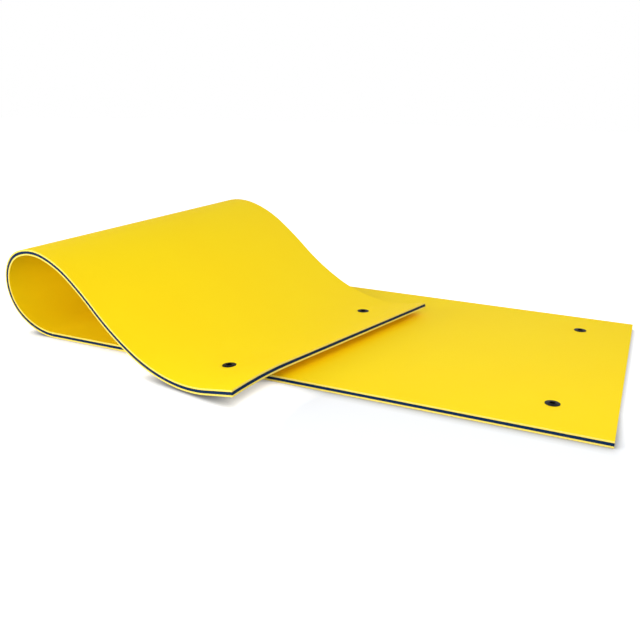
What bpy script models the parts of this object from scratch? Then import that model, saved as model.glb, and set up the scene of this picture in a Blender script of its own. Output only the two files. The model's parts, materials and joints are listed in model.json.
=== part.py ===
"""A foam floating mat of three glued layers, with one end folded back over the rest.

The mat is drawn as a flat sheet and then bent. On the flat sheet, u runs along the mat from the
end that lies on the ground, v runs across it from the near edge, and w is the height above the
sheet's underside. The bends follow straight creases that fan out from one far point, so the
folded end comes to lie askew over the run below it.
"""

import math

import bmesh
import bpy
from mathutils import Matrix, Vector

# The flat sheet
MAT_LENGTH = 5.486
MAT_WIDTH = 1.829
BOTTOM_THICKNESS = 0.011
CORE_THICKNESS = 0.011
TOP_THICKNESS = 0.011
FIT_GAP = 0.0003

# The fold: how far the mat lies flat, then the length of each bend along the middle of the mat
FLAT_LENGTH = 2.893
LOOP_ARC = 0.262
SLOPE_LENGTH = 0.240
SWEEP_LENGTH = 0.340
TOUCHDOWN_LENGTH = 0.580

# How far each bend turns, in degrees. The fifth bend of the loop is found from where the flap rests
LOOP_TURNS = (41.0, 61.0, 57.0, 33.0)
SLOPE_TURN = 6.0
SWEEP_TURN = -13.0
TOUCHDOWN_TURN = -39.0
LEAST_DROP_TURN = 0.0
MOST_DROP_TURN = 60.0
FACET_TURN = 5.5
FLAP_STEP = 0.105
REST_SAMPLES = 40
REST_HALVINGS = 30

# The far point that the creases fan out from, along the mat and away from its middle line
FAN_ALONG = 4.650
FAN_AWAY = 11.930

# The strip of the flap that hangs out past the run's near edge droops at this radius
DROOP_RADIUS = 2.380
FLAP_COLUMN_SHARES = (0.0, 0.05, 0.10, 0.15, 0.20, 0.25, 1.0)

# Grommets, one near each corner
GROMMET_END_INSET = 0.291
GROMMET_SIDE_INSET = 0.291
BORE_RADIUS = 0.014
BARREL_WALL = 0.003
FLANGE_RADIUS = 0.036
FLANGE_THICKNESS = 0.0025
FLANGE_EDGE_ROUND = 0.0012
LIP_HEIGHT = 0.0045
LIP_ROUND = 0.0015
LIP_LAND = 0.003
LIP_FOOT = 0.002
SNAP_BEAD_HEIGHT = 0.0005
SNAP_BEAD_LENGTH = 0.0010
FOAM_PINCH = 0.0058
CUTTER_OVERRUN = 0.010
GROMMET_SIDES = 28
ROUND_STEPS = 2

# Worked out from the sizes above
MAT_THICKNESS = BOTTOM_THICKNESS + CORE_THICKNESS + TOP_THICKNESS
BARREL_RADIUS = BORE_RADIUS + BARREL_WALL
SLOPE_START = FLAT_LENGTH + (len(LOOP_TURNS) + 1) * LOOP_ARC
SLOPE_END = SLOPE_START + SLOPE_LENGTH
TOUCHDOWN_START = SLOPE_END + SWEEP_LENGTH
TOUCHDOWN_END = TOUCHDOWN_START + TOUCHDOWN_LENGTH
ORIGIN_U = FLAT_LENGTH / 2
ORIGIN_V = MAT_WIDTH / 2
SHARP_ANGLE = math.radians(30.0)

FOAM_YELLOW = (0.96, 0.68, 0.012, 1.0)
FOAM_NAVY = (0.004, 0.014, 0.085, 1.0)
MOULDED_BLACK = (0.006, 0.006, 0.007, 1.0)
FOAM_ROUGHNESS = 0.75
PLASTIC_ROUGHNESS = 0.4


def clear_scene():
    for obj in list(bpy.data.objects):
        bpy.data.objects.remove(obj, do_unlink=True)


def material(name, colour, roughness):
    made = bpy.data.materials.new(name)
    made.use_nodes = True
    shader = made.node_tree.nodes["Principled BSDF"]
    shader.inputs["Base Color"].default_value = colour
    shader.inputs["Roughness"].default_value = roughness
    shader.inputs["Metallic"].default_value = 0.0
    return made


def smoothstep(share):
    share = min(max(share, 0.0), 1.0)
    return share * share * (3.0 - 2.0 * share)


class Fold:
    """The bent sheet. Each strip between two creases is flat and carries its own placing matrix."""

    def __init__(self, drop_turn):
        bends = [(LOOP_ARC, turn) for turn in LOOP_TURNS]
        bends += [(LOOP_ARC, drop_turn), (SLOPE_LENGTH, SLOPE_TURN)]
        bends += [(SWEEP_LENGTH, SWEEP_TURN), (TOUCHDOWN_LENGTH, TOUCHDOWN_TURN)]
        self.creases = []
        self.placings = [Matrix.Identity(4)]
        start = FLAT_LENGTH
        for length, turn in bends:
            count = math.ceil(abs(turn) / FACET_TURN)
            for step in range(count):
                crease = start + length * (step + 0.5) / count
                self.add_crease(crease, math.radians(turn / count))
            start += length
        self.last = max(crease for crease in self.creases if self.clears_end(crease))

    def add_crease(self, crease, turn):
        lean = math.atan(self.lean(crease))
        axis = Vector((math.sin(lean), -math.cos(lean), 0.0))
        foot = Matrix.Translation((crease, ORIGIN_V, 0.0))
        # the creases lie half way up the sheet, so that neither face is stretched more
        middle = Matrix.Translation((0.0, 0.0, MAT_THICKNESS / 2))
        bend = foot @ middle @ Matrix.Rotation(turn, 4, axis) @ middle.inverted() @ foot.inverted()
        self.creases.append(crease)
        self.placings.append(self.placings[-1] @ bend)

    def lean(self, crease):
        """How far a crease leans along the mat for each metre across it."""
        return (FAN_ALONG - crease) / FAN_AWAY

    def along(self, crease, v):
        """The u at which a crease, named by where it crosses the middle line, meets v."""
        return crease - (v - ORIGIN_V) * self.lean(crease)

    def clears_end(self, crease):
        """Whether a crease crosses the whole mat before its end."""
        return max(self.along(crease, v) for v in (0.0, MAT_WIDTH)) < MAT_LENGTH - FIT_GAP

    def row_u(self, station, v):
        """The u at which a row of points meets v. The rows lie along the creases, and both ends
        of the mat are cut square, so past the last crease they turn square by degrees."""
        if station == 0.0:
            return 0.0
        share = max((station - self.last) / (MAT_LENGTH - self.last), 0.0)
        slanting = self.along(min(station, self.last), v)
        return (1.0 - share) * slanting + share * MAT_LENGTH

    def crease_through(self, u, v):
        """Where the crease through a point of the sheet crosses the middle line."""
        across = (v - ORIGIN_V) / FAN_AWAY
        return (u + across * FAN_ALONG) / (1.0 + across)

    def placing(self, crease):
        """The two placings that meet at a crease, or the strip's own twice away from one."""
        before = sum(1 for place in self.creases if place < crease - FIT_GAP / 2)
        after = sum(1 for place in self.creases if place < crease + FIT_GAP / 2)
        return self.placings[before], self.placings[after]

    def place(self, u, v, w):
        """A point of the flat sheet, taken to its place on the folded mat."""
        crease = self.crease_through(u, v)
        point = Vector((u, v, w))
        before, after = self.placing(crease)
        bent = (before @ point + after @ point) / 2
        bent = Vector((ORIGIN_U - bent.x, bent.y - ORIGIN_V, bent.z))
        overhang = max(-ORIGIN_V - bent.y, 0.0)
        share = smoothstep((crease - SLOPE_END) / (TOUCHDOWN_END - SLOPE_END))
        bent.z -= share * overhang * overhang / (2.0 * DROOP_RADIUS)
        return bent

    def height_over_run(self):
        """The least height of the flap's lower face over the run's upper face."""
        least = math.inf
        for station in flap_stations(self)[1:]:
            for step in range(REST_SAMPLES + 1):
                v = MAT_WIDTH * step / REST_SAMPLES
                under = self.place(self.row_u(station, v), v, MAT_THICKNESS)
                if under.y > -ORIGIN_V - FIT_GAP:
                    least = min(least, under.z - MAT_THICKNESS)
        return least


def resting_fold():
    """The fold whose flap comes down until it lies on the run: the last turn of the loop sets it."""
    low, high = LEAST_DROP_TURN, MOST_DROP_TURN
    for _ in range(REST_HALVINGS):
        middle = (low + high) / 2
        if Fold(middle).height_over_run() > FIT_GAP:
            low = middle
        else:
            high = middle
    return Fold(low)


def run_stations(fold):
    """The places along the middle line where the run and the loop have a row of points."""
    bent = [crease for crease in fold.creases if crease < SLOPE_START]
    return [0.0, *bent, SLOPE_START - FIT_GAP / 2]


def flap_stations(fold):
    bent = [crease for crease in fold.creases if SLOPE_START < crease <= fold.last]
    start = SLOPE_START + FIT_GAP / 2
    stations = [start, *bent, MAT_LENGTH]
    filled = [start]
    for before, after in zip(stations, stations[1:]):
        count = max(math.ceil((after - before) / FLAP_STEP), 1)
        filled += [before + (after - before) * step / count for step in range(1, count + 1)]
    return filled


def layer(name, fold, stations, columns, low, high, finish):
    """One foam layer between two heights of the sheet, as a closed body of triangles."""
    mesh = bmesh.new()
    grids = []
    for w in (low, high):
        grid = []
        for station in stations:
            row = [fold.place(fold.row_u(station, v), v, w) for v in columns]
            grid.append([mesh.verts.new(point) for point in row])
        grids.append(grid)

    def strip(first, second):
        for i in range(len(first) - 1):
            mesh.faces.new((first[i], first[i + 1], second[i + 1]))
            mesh.faces.new((first[i], second[i + 1], second[i]))

    under, over = grids
    for i in range(len(stations) - 1):
        strip(under[i], under[i + 1])
        strip(over[i], over[i + 1])
    for edge in (0, -1):
        strip([line[edge] for line in under], [line[edge] for line in over])
        strip(under[edge], over[edge])
    bmesh.ops.recalc_face_normals(mesh, faces=mesh.faces)
    return finished(name, mesh, finish)


def finished(name, mesh, finish):
    data = bpy.data.meshes.new(name)
    mesh.to_mesh(data)
    mesh.free()
    data.shade_smooth()
    data.set_sharp_from_angle(angle=SHARP_ANGLE)
    data.materials.append(finish)
    obj = bpy.data.objects.new(name, data)
    bpy.context.scene.collection.objects.link(obj)
    return obj


def arc(centre_r, centre_z, radius, start, end):
    """Points of a rounded corner, from one direction to another in degrees."""
    points = []
    for step in range(ROUND_STEPS + 1):
        angle = math.radians(start + (end - start) * step / ROUND_STEPS)
        points.append((centre_r + radius * math.cos(angle), centre_z + radius * math.sin(angle)))
    return points


def turned(name, profile, finish):
    """A ring turned from a closed outline of (radius, height) points."""
    mesh = bmesh.new()
    rings = []
    for side in range(GROMMET_SIDES):
        angle = 2 * math.pi * side / GROMMET_SIDES
        ring = [mesh.verts.new((r * math.cos(angle), r * math.sin(angle), z)) for r, z in profile]
        rings.append(ring)
    for side, ring in enumerate(rings):
        following = rings[(side + 1) % GROMMET_SIDES]
        for i in range(len(profile)):
            j = (i + 1) % len(profile)
            mesh.faces.new((ring[i], ring[j], following[j], following[i]))
    bmesh.ops.recalc_face_normals(mesh, faces=mesh.faces)
    return finished(name, mesh, finish)


def lip(inner_radius, seat):
    """The outer face of a flange that sits at a height: raised lip, sloping foot and rounded rim."""
    crown = seat + LIP_HEIGHT
    rim = seat + FLANGE_THICKNESS
    outline = arc(inner_radius + LIP_ROUND, crown - LIP_ROUND, LIP_ROUND, 180.0, 90.0)
    land = inner_radius + LIP_ROUND + LIP_LAND
    outline += arc(land, crown - LIP_ROUND, LIP_ROUND, 90.0, 30.0)
    outline.append((land + LIP_ROUND + LIP_FOOT, rim))
    edge = FLANGE_RADIUS - FLANGE_EDGE_ROUND
    outline += arc(edge, rim - FLANGE_EDGE_ROUND, FLANGE_EDGE_ROUND, 90.0, 0.0)
    outline.append((FLANGE_RADIUS, seat))
    return outline


def grommet(name, back_seat, front_seat, finish):
    """The half with the barrel, which comes in from the front and snaps into the back ring."""
    bead_top = back_seat - FLANGE_THICKNESS / 2 + SNAP_BEAD_LENGTH / 2
    bead_foot = bead_top - SNAP_BEAD_LENGTH
    barrel_end = back_seat - FLANGE_THICKNESS
    outline = [(BORE_RADIUS, barrel_end)]
    outline += lip(BORE_RADIUS, front_seat)
    outline += [
        (BARREL_RADIUS, front_seat),
        (BARREL_RADIUS, bead_top + SNAP_BEAD_HEIGHT),
        (BARREL_RADIUS + SNAP_BEAD_HEIGHT, bead_top),
        (BARREL_RADIUS, bead_foot),
        (BARREL_RADIUS, barrel_end),
    ]
    return turned(name, outline, finish)


def grommet_ring(name, back_seat, finish):
    """The back flange, with the groove that the barrel's bead snaps into."""
    inner = BARREL_RADIUS + FIT_GAP
    bead_top = back_seat - FLANGE_THICKNESS / 2 + SNAP_BEAD_LENGTH / 2
    bead_foot = bead_top - SNAP_BEAD_LENGTH
    # drawn facing up at height zero, then turned over to face away from the barrel
    outline = [(radius, back_seat - height) for radius, height in lip(inner, 0.0)]
    outline += [
        (inner, back_seat),
        (inner, bead_top + SNAP_BEAD_HEIGHT),
        (inner + SNAP_BEAD_HEIGHT, bead_top),
        (inner, bead_foot),
    ]
    return turned(name, outline, finish)


def foam_cutter(name, back_seat, front_seat, finish):
    """What a grommet takes out of the foam: its hole, and a seat for each flange."""
    hole = BARREL_RADIUS + FIT_GAP
    seat = FLANGE_RADIUS + FIT_GAP
    outline = [
        (0.0, back_seat - CUTTER_OVERRUN),
        (seat, back_seat - CUTTER_OVERRUN),
        (seat, back_seat + FIT_GAP),
        (hole, back_seat + FIT_GAP),
        (hole, front_seat - FIT_GAP),
        (seat, front_seat - FIT_GAP),
        (seat, front_seat + CUTTER_OVERRUN),
        (0.0, front_seat + CUTTER_OVERRUN),
    ]
    mesh = bmesh.new()
    rings = []
    for side in range(GROMMET_SIDES):
        angle = 2 * math.pi * side / GROMMET_SIDES
        turn = Matrix.Rotation(angle, 3, "Z")
        rings.append([mesh.verts.new(turn @ Vector((r, 0.0, z))) for r, z in outline[1:-1]])
    ends = [mesh.verts.new((0.0, 0.0, outline[i][1])) for i in (0, -1)]
    for side, ring in enumerate(rings):
        following = rings[(side + 1) % GROMMET_SIDES]
        for i in range(len(ring) - 1):
            mesh.faces.new((ring[i], following[i], following[i + 1], ring[i + 1]))
        mesh.faces.new((ends[0], following[0], ring[0]))
        mesh.faces.new((ends[1], ring[-1], following[-1]))
    bmesh.ops.recalc_face_normals(mesh, faces=mesh.faces)
    cutter = finished(name, mesh, finish)
    cutter.hide_render = True
    cutter.display_type = "WIRE"
    return cutter


def surface_frame(fold, u, v):
    """The place on the folded mat's underside at (u, v), with its Z axis along the sheet's w."""
    ahead = fold.place(u + FLANGE_RADIUS, v, 0.0) - fold.place(u - FLANGE_RADIUS, v, 0.0)
    aside = fold.place(u, v + FLANGE_RADIUS, 0.0) - fold.place(u, v - FLANGE_RADIUS, 0.0)
    upright = aside.cross(ahead).normalized()
    ahead = (ahead - upright * ahead.dot(upright)).normalized()
    aside = upright.cross(ahead)
    frame = Matrix((ahead, aside, upright)).transposed().to_4x4()
    frame.translation = fold.place(u, v, 0.0)
    return frame


def cut(obj, cutter):
    modifier = obj.modifiers.new(cutter.name, "BOOLEAN")
    modifier.operation = "DIFFERENCE"
    modifier.solver = "EXACT"
    modifier.object = cutter


def corner_grommet(name, fold, u, v, back_seat, layers, parent):
    """One grommet through all three layers, near one corner of the mat."""
    front_seat = back_seat + MAT_THICKNESS - FOAM_PINCH
    black = bpy.data.materials["moulded_black"]
    frame = surface_frame(fold, u, v)
    cutter = foam_cutter(name + "_cutter", back_seat, front_seat, black)
    pieces = [
        grommet(name, back_seat, front_seat, black),
        grommet_ring(name + "_ring", back_seat, black),
    ]
    for piece in [cutter, *pieces]:
        piece.matrix_world = frame
        if parent:
            ride(piece, parent)
    for foam in layers:
        cut(foam, cutter)


def ride(obj, parent):
    """Parents a piece without moving it."""
    obj.parent = parent
    obj.matrix_parent_inverse = parent.matrix_world.inverted()


def foam_layers(body, fold, stations, columns):
    """The three layers of one stretch of the mat, a gap apart where they are glued."""
    yellow = bpy.data.materials["foam_yellow"]
    navy = bpy.data.materials["foam_navy"]
    core_low = BOTTOM_THICKNESS + FIT_GAP / 2
    core_high = BOTTOM_THICKNESS + CORE_THICKNESS - FIT_GAP / 2
    return [
        layer(body + "_bottom_layer", fold, stations, columns, 0.0, core_low - FIT_GAP, yellow),
        layer(body + "_core_layer", fold, stations, columns, core_low, core_high, navy),
        layer(
            body + "_top_layer", fold, stations, columns, core_high + FIT_GAP, MAT_THICKNESS, yellow
        ),
    ]


def hinge_empty(fold):
    """Marks the crease that the flap turns about, on the outer face of the foam."""
    near = fold.place(fold.along(SLOPE_START, 0.0), 0.0, 0.0)
    far = fold.place(fold.along(SLOPE_START, MAT_WIDTH), MAT_WIDTH, 0.0)
    hinge = bpy.data.objects.new("flap_hinge", None)
    bpy.context.scene.collection.objects.link(hinge)
    hinge.location = (near + far) / 2
    bpy.context.view_layer.update()
    return hinge


def main():
    clear_scene()
    material("foam_yellow", FOAM_YELLOW, FOAM_ROUGHNESS)
    material("foam_navy", FOAM_NAVY, FOAM_ROUGHNESS)
    material("moulded_black", MOULDED_BLACK, PLASTIC_ROUGHNESS)
    fold = resting_fold()

    run = foam_layers("run", fold, run_stations(fold), (0.0, MAT_WIDTH))
    flap_columns = [share * MAT_WIDTH for share in FLAP_COLUMN_SHARES]
    flap = foam_layers("flap", fold, flap_stations(fold), flap_columns)
    hinge = hinge_empty(fold)
    for foam in flap:
        ride(foam, hinge)

    # the ground pushes the run's grommets up until their back lips are level with the foam
    on_ground = LIP_HEIGHT + FIT_GAP
    in_middle = FOAM_PINCH / 2
    near = GROMMET_SIDE_INSET
    far = MAT_WIDTH - GROMMET_SIDE_INSET
    run_u = GROMMET_END_INSET
    flap_u = MAT_LENGTH - GROMMET_END_INSET
    corner_grommet("run_near_grommet", fold, run_u, near, on_ground, run, None)
    corner_grommet("run_far_grommet", fold, run_u, far, on_ground, run, None)
    corner_grommet("flap_near_grommet", fold, flap_u, near, in_middle, flap, hinge)
    corner_grommet("flap_far_grommet", fold, flap_u, far, in_middle, flap, hinge)
    bpy.context.view_layer.update()


main()
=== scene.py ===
# %% [markdown]
# # A foam floating mat, folded back over itself
#
# The real thing is a lake mat: three sheets of closed-cell polyethylene foam, yellow, navy and
# yellow, laminated into one slab 33 mm thick, with a plastic grommet near each corner for a
# tether. Here one end is carried over and let down on the rest, so the slab stands up in a loop.
#
# We build it in the order a maker would think of it. First the rule of the fold, then the flat
# layers with the places where the grommets pinch them, then the bending, the grommets, the
# finishes, and at last the studio.

# %% Load the frame
import json
import math

import bmesh
import bpy
import numpy as np
from mathutils import Matrix, Vector


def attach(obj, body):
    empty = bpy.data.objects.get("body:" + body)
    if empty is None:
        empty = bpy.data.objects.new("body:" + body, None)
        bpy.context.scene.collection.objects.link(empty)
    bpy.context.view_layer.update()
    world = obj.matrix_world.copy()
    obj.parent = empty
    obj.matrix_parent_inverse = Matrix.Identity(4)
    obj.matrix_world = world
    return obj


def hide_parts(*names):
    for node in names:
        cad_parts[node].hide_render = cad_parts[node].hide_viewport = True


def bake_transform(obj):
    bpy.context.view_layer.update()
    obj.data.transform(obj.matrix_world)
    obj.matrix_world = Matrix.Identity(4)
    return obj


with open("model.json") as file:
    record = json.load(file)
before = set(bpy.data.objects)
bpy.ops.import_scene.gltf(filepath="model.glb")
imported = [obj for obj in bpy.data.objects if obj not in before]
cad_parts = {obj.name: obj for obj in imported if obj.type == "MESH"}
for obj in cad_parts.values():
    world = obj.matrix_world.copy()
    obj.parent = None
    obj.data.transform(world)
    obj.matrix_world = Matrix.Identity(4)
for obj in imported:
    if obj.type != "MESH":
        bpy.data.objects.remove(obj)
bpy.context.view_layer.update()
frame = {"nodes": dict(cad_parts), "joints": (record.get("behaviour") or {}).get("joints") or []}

print("solids:", sorted(frame["nodes"]))

# %% [markdown]
# ## The sizes of the mat
#
# Sizes are in metres, at the mat's full scale. A point of the unbent mat has three coordinates:
# u runs along it from the end that lies flat, v runs across it from the near edge, and w is the
# height above its underside. We think in this flat sheet as long as we can, because there every
# layer is a plain rectangle.

# %% Sizes of the flat mat and of its grommets
MAT_LENGTH = 5.486
MAT_WIDTH = 1.829
LAYER_THICKNESS = 0.011
MAT_THICKNESS = 3 * LAYER_THICKNESS
HALF_WIDTH = MAT_WIDTH / 2
LAMINATE_GAP = 0.00003  # only so that the faces of two sheets are not in one place

CORNER_INSET = 0.291
BORE_RADIUS = 0.014
BARREL_WALL = 0.003
BARREL_RADIUS = BORE_RADIUS + BARREL_WALL
FLANGE_RADIUS = 0.036
FIT_GAP = 0.0003
FOAM_PINCH = 0.0058
LIP_HEIGHT = 0.0045

GROMMET_SPOTS = {
    "run_near": (CORNER_INSET, CORNER_INSET),
    "run_far": (CORNER_INSET, MAT_WIDTH - CORNER_INSET),
    "flap_near": (MAT_LENGTH - CORNER_INSET, CORNER_INSET),
    "flap_far": (MAT_LENGTH - CORNER_INSET, MAT_WIDTH - CORNER_INSET),
}
# On the ground the lower lips are pushed up until they are level with the foam
BACK_SEATS = {"run": LIP_HEIGHT + FIT_GAP, "flap": FOAM_PINCH / 2}
print("foam volume, litres:", round(MAT_LENGTH * MAT_WIDTH * MAT_THICKNESS * 1000, 1))

# %% [markdown]
# ## The rule of the fold
#
# A sheet of foam does not stretch much, so it can only bend along straight lines. When the far
# corner is carried over askew, those lines are not parallel: they fan out from one far point. We
# name each line by the place c where it crosses the middle of the mat, and say how many degrees
# the mat turns over each stretch of c. Adding up small turns, one every 5 mm, gives each line its
# own placing matrix, and the matrix takes the flat points on that line to their place in the air.
#
# One turn isn't known: the last of the loop, where the free end comes down. The real mat finds it
# by falling until it lies on itself, so we find it by halving an interval until the free end rests.

# %% Bends of the mat, as (length, degrees)
FLAT_LENGTH = 2.893
LOOP_ARC = 0.262
LOOP_TURNS = (41.0, 61.0, 57.0, 33.0)
SLOPE = (0.240, 6.0)
SWEEP = (0.340, -13.0)
TOUCHDOWN = (0.580, -39.0)
SLOPE_START = FLAT_LENGTH + (len(LOOP_TURNS) + 1) * LOOP_ARC
SLOPE_END = SLOPE_START + SLOPE[0]
TOUCHDOWN_END = SLOPE_END + SWEEP[0] + TOUCHDOWN[0]

FAN_ALONG = 4.650
FAN_AWAY = 11.930
DROOP_RADIUS = 2.380
CREASE_STEP = 0.005
CREASE_OVERRUN = 0.450
CREASES = np.arange(-CREASE_OVERRUN, MAT_LENGTH + CREASE_OVERRUN, CREASE_STEP)

LEAST_DROP_TURN, MOST_DROP_TURN = 0.0, 60.0
REST_HALVINGS = 18
REST_ROWS, REST_COLUMNS = 120, 61


# %% Placing matrices of the creases
def lean(crease):
    """How far a crease leans along the mat for each metre across it."""
    return (FAN_ALONG - crease) / FAN_AWAY


def crease_placings(drop_turn):
    """A placing matrix for each crease, if the loop's last bend turns by drop_turn degrees."""
    bends = [(LOOP_ARC, turn) for turn in (*LOOP_TURNS, drop_turn)] + [SLOPE, SWEEP, TOUCHDOWN]
    knots = np.cumsum([FLAT_LENGTH] + [length for length, _ in bends])
    turned = np.radians(np.cumsum([0.0] + [turn for _, turn in bends]))
    turns = np.diff(np.interp(CREASES, knots, turned))
    placing = Matrix.Identity(4)
    placings = [placing]
    for crease, turn in zip(CREASES + CREASE_STEP / 2, turns):
        if turn:
            slant = math.atan(lean(crease))
            axis = (math.sin(slant), -math.cos(slant), 0.0)
            foot = Matrix.Translation((crease, HALF_WIDTH, MAT_THICKNESS / 2))
            placing = placing @ foot @ Matrix.Rotation(turn, 4, axis) @ foot.inverted()
        placings.append(placing)
    return np.array(placings)


# %% Take flat points to their places
def fold_points(points, placings):
    """Takes flat points, as rows of (u, v, w), to their places on the folded mat."""
    points = np.atleast_2d(points)
    across = (points[:, 1] - HALF_WIDTH) / FAN_AWAY
    crease = (points[:, 0] + across * FAN_ALONG) / (1 + across)
    steps = (crease - CREASES[0]) / CREASE_STEP
    index = np.clip(np.floor(steps).astype(int), 0, len(CREASES) - 2)
    share = (steps - index)[:, None]
    full = np.c_[points, np.ones(len(points))]
    before = np.einsum("nij,nj->ni", placings[index], full)[:, :3]
    after = np.einsum("nij,nj->ni", placings[index + 1], full)[:, :3]
    bent = before * (1 - share) + after * share
    bent = np.c_[FLAT_LENGTH / 2 - bent[:, 0], bent[:, 1] - HALF_WIDTH, bent[:, 2]]
    hanging = np.clip((crease - SLOPE_END) / (TOUCHDOWN_END - SLOPE_END), 0, 1)
    hanging = hanging * hanging * (3 - 2 * hanging)
    overhang = np.maximum(-HALF_WIDTH - bent[:, 1], 0.0)
    bent[:, 2] -= hanging * overhang**2 / (2 * DROOP_RADIUS)
    return bent


# %% Let the free end down until it rests
def height_of_flap(drop_turn):
    """The least height of the flap's lower face over the run's upper face."""
    along = np.linspace(SLOPE_END, MAT_LENGTH, REST_ROWS)
    u, v = np.meshgrid(along, np.linspace(0, MAT_WIDTH, REST_COLUMNS))
    flat = np.c_[u.ravel(), v.ravel(), np.full(u.size, MAT_THICKNESS)]
    under = fold_points(flat, crease_placings(drop_turn))
    over_run = under[:, 1] > -HALF_WIDTH - FIT_GAP
    return under[over_run, 2].min() - MAT_THICKNESS


least_turn, most_turn = LEAST_DROP_TURN, MOST_DROP_TURN
for _ in range(REST_HALVINGS):
    drop_turn = (least_turn + most_turn) / 2
    if height_of_flap(drop_turn) > FIT_GAP:
        least_turn = drop_turn
    else:
        most_turn = drop_turn
placings = crease_placings(least_turn)
print("the loop's last bend turns by", round(least_turn, 3), "degrees")
print("the free end rests", round(height_of_flap(least_turn) * 1000, 2), "mm above the run")

# %% [markdown]
# ## The flat plan of a layer
#
# Before it is bent, a layer is a flat outline with round holes. We want long, even faces that lie
# along the creases, so that the bend is smooth, and fine rings round each hole, where the grommet
# will pinch the foam. So the plan is a grid of rows and columns, and round each grommet a square
# window is taken out of the grid and filled with rings that grow from the hole to the window.

# %% Rows and columns of the plan
COARSE_STEP = 0.050
FINE_STEP = 0.010
SEAM_STEP = 0.001
WINDOW_HALF = 0.080
GRID_SLACK = 0.0003  # so that rounding errors neither add a row nor lose one
BEND_HALF = 0.300
BEND_START = SLOPE_START - BEND_HALF
BEND_END = SLOPE_START + BEND_HALF
RING_RADII = (0.0173, 0.027, 0.0365, 0.0385, 0.041, 0.044, 0.048, 0.053, 0.059, 0.065)


def spaced(start, end, step):
    """Even places from start to end, no further apart than a step."""
    count = max(math.ceil((end - start) / step - GRID_SLACK), 1)
    return [start + (end - start) * i / count for i in range(count + 1)]


def joined(*stretches):
    """Places of several stretches, each of which starts where the last one ends."""
    places = list(stretches[0])
    for stretch in stretches[1:]:
        places += stretch[1:]
    return places


def row_u(station, v):
    """Where a row meets v. Rows lie along the creases, and turn square towards both ends."""
    window_end = CORNER_INSET + WINDOW_HALF
    slanting = np.interp(
        station, (window_end, FLAT_LENGTH, TOUCHDOWN_END, MAT_LENGTH), (0.0, 1.0, 1.0, 0.0)
    )
    return station - (v - HALF_WIDTH) * lean(station) * slanting


near_window = (CORNER_INSET - WINDOW_HALF, CORNER_INSET + WINDOW_HALF)
far_window = (MAT_WIDTH - near_window[1], MAT_WIDTH - near_window[0])
COLUMNS = joined(
    spaced(0.0, near_window[0], COARSE_STEP / 2),
    spaced(*near_window, FINE_STEP),
    spaced(near_window[1], far_window[0], COARSE_STEP),
    spaced(*far_window, FINE_STEP),
    spaced(far_window[1], MAT_WIDTH, COARSE_STEP / 2),
)
flap_window = (MAT_LENGTH - near_window[1], MAT_LENGTH - near_window[0])
ROWS = {
    "run": joined(
        spaced(0.0, near_window[0], COARSE_STEP),
        spaced(*near_window, FINE_STEP),
        spaced(near_window[1], FLAT_LENGTH, COARSE_STEP),
        spaced(FLAT_LENGTH, BEND_START - SEAM_STEP, FINE_STEP),
        [BEND_START - SEAM_STEP, BEND_START],
    ),
    "bend": joined(
        [BEND_START, BEND_START + SEAM_STEP],
        spaced(BEND_START + SEAM_STEP, BEND_END - SEAM_STEP, FINE_STEP),
        [BEND_END - SEAM_STEP, BEND_END],
    ),
    "flap": joined(
        [BEND_END, BEND_END + SEAM_STEP],
        spaced(BEND_END + SEAM_STEP, flap_window[0], FINE_STEP),
        spaced(*flap_window, FINE_STEP),
        spaced(flap_window[1], MAT_LENGTH, FINE_STEP),
    ),
}
print("columns:", len(COLUMNS), "rows:", {name: len(rows) for name, rows in ROWS.items()})


# %% Draw the plan of one stretch
def windows_of(stretch, rows):
    """The grommet windows in a stretch, as their centre and their first and last row and column."""
    found = []
    for name, (u, v) in GROMMET_SPOTS.items():
        if name.split("_")[0] == stretch:
            reach = WINDOW_HALF + GRID_SLACK
            near_rows = [i for i, row in enumerate(rows) if abs(row_u(row, v) - u) < reach]
            near_columns = [j for j, column in enumerate(COLUMNS) if abs(column - v) < reach]
            corners = (near_rows[0], near_rows[-1], near_columns[0], near_columns[-1])
            found.append((Vector((u, v)), *corners))
    return found


def rim_of_window(first_row, last_row, first_column, last_column):
    """The grid places round a window, in order."""
    rim = [(first_row, j) for j in range(first_column, last_column)]
    rim += [(i, last_column) for i in range(first_row, last_row)]
    rim += [(last_row, j) for j in range(last_column, first_column, -1)]
    rim += [(i, first_column) for i in range(last_row, first_row, -1)]
    return rim


def flat_plan(stretch):
    """The plan of one stretch of the mat, flat on w = 0, with rings round its grommets."""
    rows = ROWS[stretch]
    plan = bmesh.new()
    grid = [[plan.verts.new((row_u(row, v), v, 0.0)) for v in COLUMNS] for row in rows]
    windows = windows_of(stretch, rows)
    for i in range(len(rows) - 1):
        for j in range(len(COLUMNS) - 1):
            if not any(a <= i < b and c <= j < d for _, a, b, c, d in windows):
                plan.faces.new((grid[i][j], grid[i + 1][j], grid[i + 1][j + 1], grid[i][j + 1]))
    for centre, *corners in windows:
        rim = [grid[i][j] for i, j in rim_of_window(*corners)]
        outer = rim
        for radius in reversed(RING_RADII):
            ring = []
            for corner in rim:
                place = centre + (corner.co.xy - centre).normalized() * radius
                ring.append(plan.verts.new((*place, 0.0)))
            for k in range(len(rim)):
                following = (k + 1) % len(rim)
                plan.faces.new((outer[k], ring[k], ring[following], outer[following]))
            outer = ring
    bmesh.ops.delete(plan, geom=[v for v in plan.verts if not v.link_faces], context="VERTS")
    bmesh.ops.recalc_face_normals(plan, faces=plan.faces)
    if sum(face.normal.z for face in plan.faces) < 0:
        bmesh.ops.reverse_faces(plan, faces=plan.faces)
    mesh = bpy.data.meshes.new(stretch + "_plan")
    plan.to_mesh(mesh)
    plan.free()
    return mesh


PLANS = {stretch: flat_plan(stretch) for stretch in ROWS}
print("faces in the plans:", {name: len(plan.polygons) for name, plan in PLANS.items()})

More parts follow.
